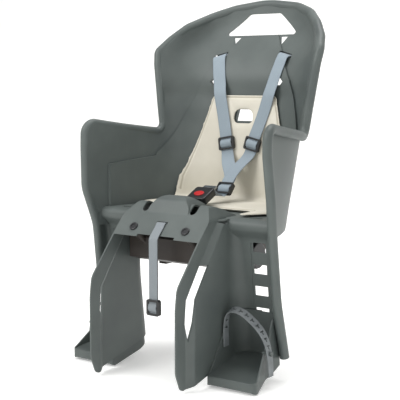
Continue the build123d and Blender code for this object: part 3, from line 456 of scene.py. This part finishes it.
# Lower harness: a short webbing from the ring to the tongue, of the shoulder straps' weave, and the black
# crotch webbing from the buckle down through the pan.
BUCKLE = np.array([0.0, -12.0, 129.0])
BUCKLE_LEAN = math.radians(25)
BUCKLE_BACK = np.array([0, math.cos(BUCKLE_LEAN), math.sin(BUCKLE_LEAN)])
BUCKLE_OUT = np.array([0, -math.sin(BUCKLE_LEAN), math.cos(BUCKLE_LEAN)])
LINK_WIDTH = 22
LOWER_STEPS = 24
TONGUE_BACK = 33.5
TONGUE_DROP = 8
LINK_START = 10.5
LINK_LOW = 17
# The link hangs a little forwards below the ring and comes up through the tongue's slot from below.
tongue_slot = BUCKLE + TONGUE_BACK * BUCKLE_BACK - TONGUE_DROP * BUCKLE_OUT
below_slot = tongue_slot - TONGUE_DROP * BUCKLE_OUT
below_ring = RING - LINK_LOW * RING_UP + (-1, -2, 0)
between = (below_ring + below_slot) / 2 + (0, 0, -2)
link_rows = np.array([RING - LINK_START * RING_UP, below_ring, between, below_slot, tongue_slot])
link = webbing("tongue_webbing", link_rows, [ACROSS] * len(link_rows), LINK_WIDTH, STRAP_THICK, LOWER_STEPS)
dress(link, harness_webbing, slot_of["tongue_strap"], "seat", "tongue_strap")
CROTCH_WIDTH = 24
CROTCH_Y = -12.5
CROTCH_LEVELS = (104, 96, 89, 81)
CROTCH_FORWARD = 10
CROTCH_DROPS = (11.5, 17)
under_buckle = [BUCKLE - CROTCH_FORWARD * BUCKLE_BACK - drop * BUCKLE_OUT for drop in CROTCH_DROPS]
crotch_rows = np.array(under_buckle + [(0, CROTCH_Y, level) for level in CROTCH_LEVELS])
crotch = webbing("crotch_webbing", crotch_rows, [ACROSS] * len(crotch_rows), CROTCH_WIDTH, STRAP_THICK,
                 LOWER_STEPS)
crotch_weave = woven_band("polyester_webbing_black", "#1c1d1f", "#323437", WEAVE_MM, CROTCH_WIDTH)
dress(crotch, crotch_weave, slot_of["crotch_strap"], "seat", "crotch_strap")

# Front strap: doubled webbing that comes out of the bridge's slot, bends over its lower edge and hangs to a
# ladder adjuster. The layer behind is the same grey webbing, drawn darker as painted shade.
FRONT_WIDTH = 20
FRONT_THICK = 1.4
FRONT_SHIFT = 0.75
FRONT_STEPS = 90
# Depths and heights of the strap's middle, from inside the slot down to its end.
FRONT_LINE = ((-127, 76.2), (-131, 80), (-134.4, 83), (-137, 82.8), (-141.2, 78.4), (-151, 68.1),
              (-158.6, 60.1), (-161.6, 55.6), (-162.3, 49), (-162.3, 20), (-162.3, -20),
              (-162.3, -60), (-162.3, -89))
front_weave = woven_band("polyester_webbing_grey", "#6d7377", "#8b9297", WEAVE_MM, FRONT_WIDTH)
# The layer behind is the same grey webbing; its darker colours are painted shade.
under_weave_painted_shade = woven_band("polyester_webbing_grey_painted_shade", "#3a3e41", "#52575a", WEAVE_MM, FRONT_WIDTH)
for name, shift, weave, nodes in (("front_webbing", -FRONT_SHIFT, front_weave, ["front_strap"]),
                                  ("front_webbing_under", FRONT_SHIFT, under_weave_painted_shade, [])):
    rows = [(0, y + shift, z) for y, z in FRONT_LINE]
    layer = webbing(name, rows, [ACROSS] * len(rows), FRONT_WIDTH, FRONT_THICK, FRONT_STEPS)
    dress(layer, weave, slot_of["front_strap"], "seat", *nodes)

# Foot straps: bands of dark grey rubber from each tray's inner wall over the foot to a stud outside. A row of
# T-shaped holes lets the stud take up the length.


BLOOM_MM = 16.7
SKIN_MM = 2


def rubber(name, dark, light):
    """Matt rubber with a grey bloom in soft clouds and a fine moulded skin."""
    material, tree, shader = new_material(name)
    place = add(tree, "TexCoord").outputs["Object"]
    bloom = add(tree, "TexNoise", {"Vector": place, "Scale": 1000 / BLOOM_MM, "Detail": 3.0})
    tone = ramp_of(tree, bloom.outputs["Fac"], ((0.3, dark), (0.7, light)))
    tree.links.new(tone, shader.inputs["Base Color"])
    skin = add(tree, "TexNoise", {"Vector": place, "Scale": 1000 / SKIN_MM, "Detail": 1.0})
    bump = add(tree, "Bump", {"Strength": 0.3, "Distance": 0.0002, "Height": skin.outputs["Fac"]})
    tree.links.new(bump.outputs[0], shader.inputs["Normal"])
    shader.inputs["Roughness"].default_value = 0.55
    return material


# Outline of a hole, across the band and along it, and the row of holes along the band, in mm.
HOLE_SHAPE = np.array([(-4, 0), (4, 0), (4, 3), (1.5, 3), (1.5, 8), (-1.5, 8), (-1.5, 3), (-4, 3)])
HOLE_PLACES = 34 + 14 * np.arange(11)
HOLE_REACH = 4
FINE_STEPS = 400


def cut_holes(band, points, ways):
    """Cuts the row of holes: each hole is a prism in the frame that the band has at that length."""
    line, at, along, across, out = band_frame(points, ways, FINE_STEPS)
    index = np.searchsorted(at, HOLE_PLACES)
    flat = (line[index][:, None] + across[index][:, None] * HOLE_SHAPE[:, :1]
            + along[index][:, None] * HOLE_SHAPE[:, 1:])
    reach = HOLE_REACH * out[index][:, None]
    corners = np.stack([flat - reach, flat + reach], axis=1).reshape(-1, 3) / 1000
    count = len(HOLE_SHAPE)
    ring = np.arange(count)
    ahead = np.roll(ring, -1)
    sides = np.stack([ring, ahead, ahead + count, ring + count], axis=1).tolist()
    prism = sides + [ring[::-1].tolist(), (ring + count).tolist()]
    firsts = 2 * count * np.arange(len(HOLE_PLACES))
    mesh = bpy.data.meshes.new("hole_row")
    mesh.from_pydata(corners.tolist(), [], [[first + v for v in face] for first in firsts for face in prism])
    face_outwards(mesh)
    cutter = new_object("hole_row", mesh)
    cut = band.modifiers.new("holes", "BOOLEAN")
    cut.object = cutter
    cut.solver = "EXACT"
    apply_modifiers(band)
    bpy.data.objects.remove(cutter)


FOOT_WIDTH = 17
FOOT_THICK = 2.4
FOOT_STEPS = 90
FOOT_Y = -94
# Half width and height of the band's middle, and how far its arch leans forwards over the toes there. The
# ends lie flat on the tray's walls.
FOOT_LINE = ((117, -143), (116, -113), (118.5, -88), (127, -74), (141, -72), (168.4, -84), (193, -105),
             (205.5, -127), (211, -149), (213, -169), (213.5, -185))
FOOT_LEAN = (0, 0, 0.2, 0.5, 0.6, 0.6, 0.5, 0.2, 0, 0, 0)
strap_rubber = rubber("foot_strap_rubber", "#676c6e", "#777c7e")
for side, name in ((-1, "left"), (1, "right")):
    rows = [(side * x, FOOT_Y, z) for x, z in FOOT_LINE]
    ways = [(0, 1, lean) for lean in FOOT_LEAN]
    band = webbing(f"foot_band_{name}", rows, ways, FOOT_WIDTH, FOOT_THICK, FOOT_STEPS)
    cut_holes(band, rows, ways)
    band.data.set_sharp_from_angle(angle=math.radians(35))
    dress(band, strap_rubber, slot_of[f"foot_strap_{name}"], f"footrest_{name}", f"foot_strap_{name}")

# Webbing loops: where a strap turns over the middle bar of an adjuster or of the ring, it bulges out of the
# frame between the outer bars and hides the bar.
LOOP_LINE = ((9, -1.5), (6.5, 2.5), (3, 4.4), (0, 5), (-3, 4.4), (-6.5, 2.5), (-9, -1.5))
LOOP_STEPS = 26
HARNESS_LOOP = 26
FRONT_LOOP = 19
FRONT_ADJUSTER = (0, -162.3, -73)
LOOPS = (("loop_left", *adjuster_frames["left"], HARNESS_LOOP, harness_webbing),
         ("loop_right", *adjuster_frames["right"], HARNESS_LOOP, harness_webbing),
         ("loop_ring", RING, ACROSS, RING_UP, HARNESS_LOOP, harness_webbing),
         ("loop_front", FRONT_ADJUSTER, ACROSS, (0, 0, 1), FRONT_LOOP, front_weave))
for name, middle, across, up, width, weave in LOOPS:
    out = np.cross(across, up)
    rows = [np.array(middle) + y * np.array(up) + z * out for y, z in LOOP_LINE]
    loop = webbing(name, rows, [across] * len(rows), width, STRAP_THICK, LOOP_STEPS)
    dress(loop, weave, "webbing", "seat")

# Small mouldings: the buckle, adjusters, ring, keepers and screw caps in black acetal, and the buckle's
# button and the knob's ring in red. They come glossy and nearly smooth out of the mould.
black_plastic = moulded_plastic("black_acetal", "#17181a", "#1e1f21", "#28292b", 1.6, 0.1, 0.36)
for name in ("strap_adjuster_left", "strap_adjuster_right", "harness_ring", "strap_keepers", "crotch_keeper",
             "buckle_body", "front_strap_adjuster", "bridge_screws"):
    finish_node(name, black_plastic)
red_plastic = moulded_plastic("red_acetal", "#a3161b", "#b71c20", "#c42a2a", 1.6, 0.1, 0.34)
for name in ("buckle_button", "knob_ring"):
    finish_node(name, red_plastic)

# Footrests: trays of the shell's polypropylene, a little darker, that hook into the ladders behind the legs.
# Their edges are rounded as a mould leaves them.
EDGE_ROUND = 0.0012
EDGE_ANGLE = math.radians(40)


def rounded_copy(name, node):
    """A copy of a node with its sharp edges rounded by a bevel."""
    made = merged_copy(name, node)
    bevel = made.modifiers.new("edges", "BEVEL")
    bevel.width = EDGE_ROUND
    bevel.segments = 3
    bevel.limit_method = "ANGLE"
    bevel.angle_limit = EDGE_ANGLE
    apply_modifiers(made)
    made.data.shade_smooth()
    made.data.set_sharp_from_angle(angle=EDGE_ANGLE)
    return made


footrest_grey = moulded_plastic("footrest_polypropylene", "#474e4d", "#4f5654", "#575e5c", 2.6, 0.25, 0.52)
for name in ("footrest_left", "footrest_right"):
    dress(rounded_copy(f"{name}_moulding", name), footrest_grey, slot_of[name], name, name)

# Carrier adapter: a dark brown-black polyamide body under the seat with clamp jaws and a black hand knob. The
# spindle, the bolts and the tongue are zinc-plated steel with fine turning marks.
adapter_brown = moulded_plastic("adapter_polyamide", "#2a2522", "#322c28", "#3b342f", 2.4, 0.2, 0.5)
for name in ("carrier_adapter", "clamp_jaw_left", "clamp_jaw_right"):
    finish_node(name, adapter_brown)
finish_node("clamp_knob", black_plastic)

FILM_MM = 8.33
MARK_MM = 1.745


def plated_steel(name):
    """Zinc-plated steel: grey metal with fine turning marks and a cloudy passivated film.

    A wave texture has 20 radians for each unit, so its scale is a tenth of pi over the marks' spacing.
    """
    material, tree, shader = new_material(name)
    place = add(tree, "TexCoord").outputs["Object"]
    film = add(tree, "TexNoise", {"Vector": place, "Scale": 1000 / FILM_MM, "Detail": 4.0})
    tone = ramp_of(tree, film.outputs["Fac"], ((0.35, "#8d9193"), (0.7, "#b4b8b9")))
    tree.links.new(tone, shader.inputs["Base Color"])
    marks = add(tree, "TexWave", {"Vector": place, "Scale": 0.1 * math.pi * 1000 / MARK_MM,
                                  "Distortion": 1.5}, bands_direction="X")
    gloss = add(tree, "MapRange", {"Value": marks.outputs["Fac"], "To Min": 0.24, "To Max": 0.4})
    tree.links.new(gloss.outputs[0], shader.inputs["Roughness"])
    shader.inputs["Metallic"].default_value = 1.0
    return material


steel = plated_steel("zinc_plated_steel")
for name in ("clamp_spindle", "adapter_bolts", "strap_tongue"):
    finish_node(name, steel)

# Stage: a pale paper sweep, three soft boxes and a soft dome of light, and the camera where the photograph
# was taken from. The paper is flat between two depths and rises beyond them by the square of the distance.
FLOOR = -0.208
FLAT_FRONT = -13.0
FLAT_BACK = 2.2
CURVE_LENGTH = 1.8
CURVE_RISE = 1.6
CURVE_STEPS = 30
SWEEP_HALF = 40.0
depth = np.concatenate([np.linspace(FLAT_FRONT - CURVE_LENGTH, FLAT_FRONT, CURVE_STEPS),
                        np.linspace(FLAT_BACK, FLAT_BACK + CURVE_LENGTH, CURVE_STEPS)])
rise = CURVE_RISE * np.maximum(np.maximum(depth - FLAT_BACK, FLAT_FRONT - depth), 0) ** 2
sweep_edges = [np.column_stack([np.full(len(depth), x), depth, FLOOR + rise])
               for x in (-SWEEP_HALF, SWEEP_HALF)]
left = np.arange(len(depth) - 1)
right = left + len(depth)
sweep_mesh = bpy.data.meshes.new("studio_sweep")
sweep_mesh.from_pydata(np.concatenate(sweep_edges).tolist(), [],
                       np.stack([left, left + 1, right + 1, right], axis=1).tolist())
sweep_mesh.shade_smooth()
paper, _, paper_shader = new_material("white_paper")
paper_shader.inputs["Base Color"].default_value = linear("#f6f6f4")
paper_shader.inputs["Roughness"].default_value = 0.9
paper_shader.inputs["Emission Color"].default_value = linear("#ffffff")
paper_shader.inputs["Emission Strength"].default_value = 0.3
sweep_mesh.materials.append(paper)
new_object("studio_sweep", sweep_mesh)


def soft_box(name, place, target, size, power):
    """A square area light at a place, turned to a target, with its side in metres and its power in watts."""
    light = bpy.data.lights.new(name, "AREA")
    light.size = size
    light.energy = power
    made = new_object(name, light)
    made.location = place
    made.rotation_euler = (Vector(target) - Vector(place)).to_track_quat("-Z", "Y").to_euler()


soft_box("key_box", (-1.2, -2.2, 2.2), (0, 0, 0.15), 1.6, 60)
soft_box("fill_box", (2.6, -1.4, 1.2), (0, 0, 0.15), 2.0, 14)
soft_box("top_box", (0.2, 0.4, 2.8), (0, 0, 0.1), 1.6, 48)
world = bpy.data.worlds.new("studio")
bpy.context.scene.world = world
world.use_nodes = True
dome = world.node_tree.nodes["Background"]
dome.inputs["Color"].default_value = linear("#ffffff")
dome.inputs["Strength"].default_value = 0.42

CAMERA_PLACE = (1.1182, -1.6037, 0.3451)
CAMERA_WAY = (-0.571, 0.8125, -0.1181)
lens = bpy.data.cameras.new("photo_camera")
lens.sensor_width = 36
lens.lens = 90
camera = new_object("photo_camera", lens)
camera.location = CAMERA_PLACE
camera.rotation_euler = Vector(CAMERA_WAY).to_track_quat("-Z", "Y").to_euler()
bpy.context.scene.camera = camera
bpy.context.scene.view_settings.view_transform = "Standard"
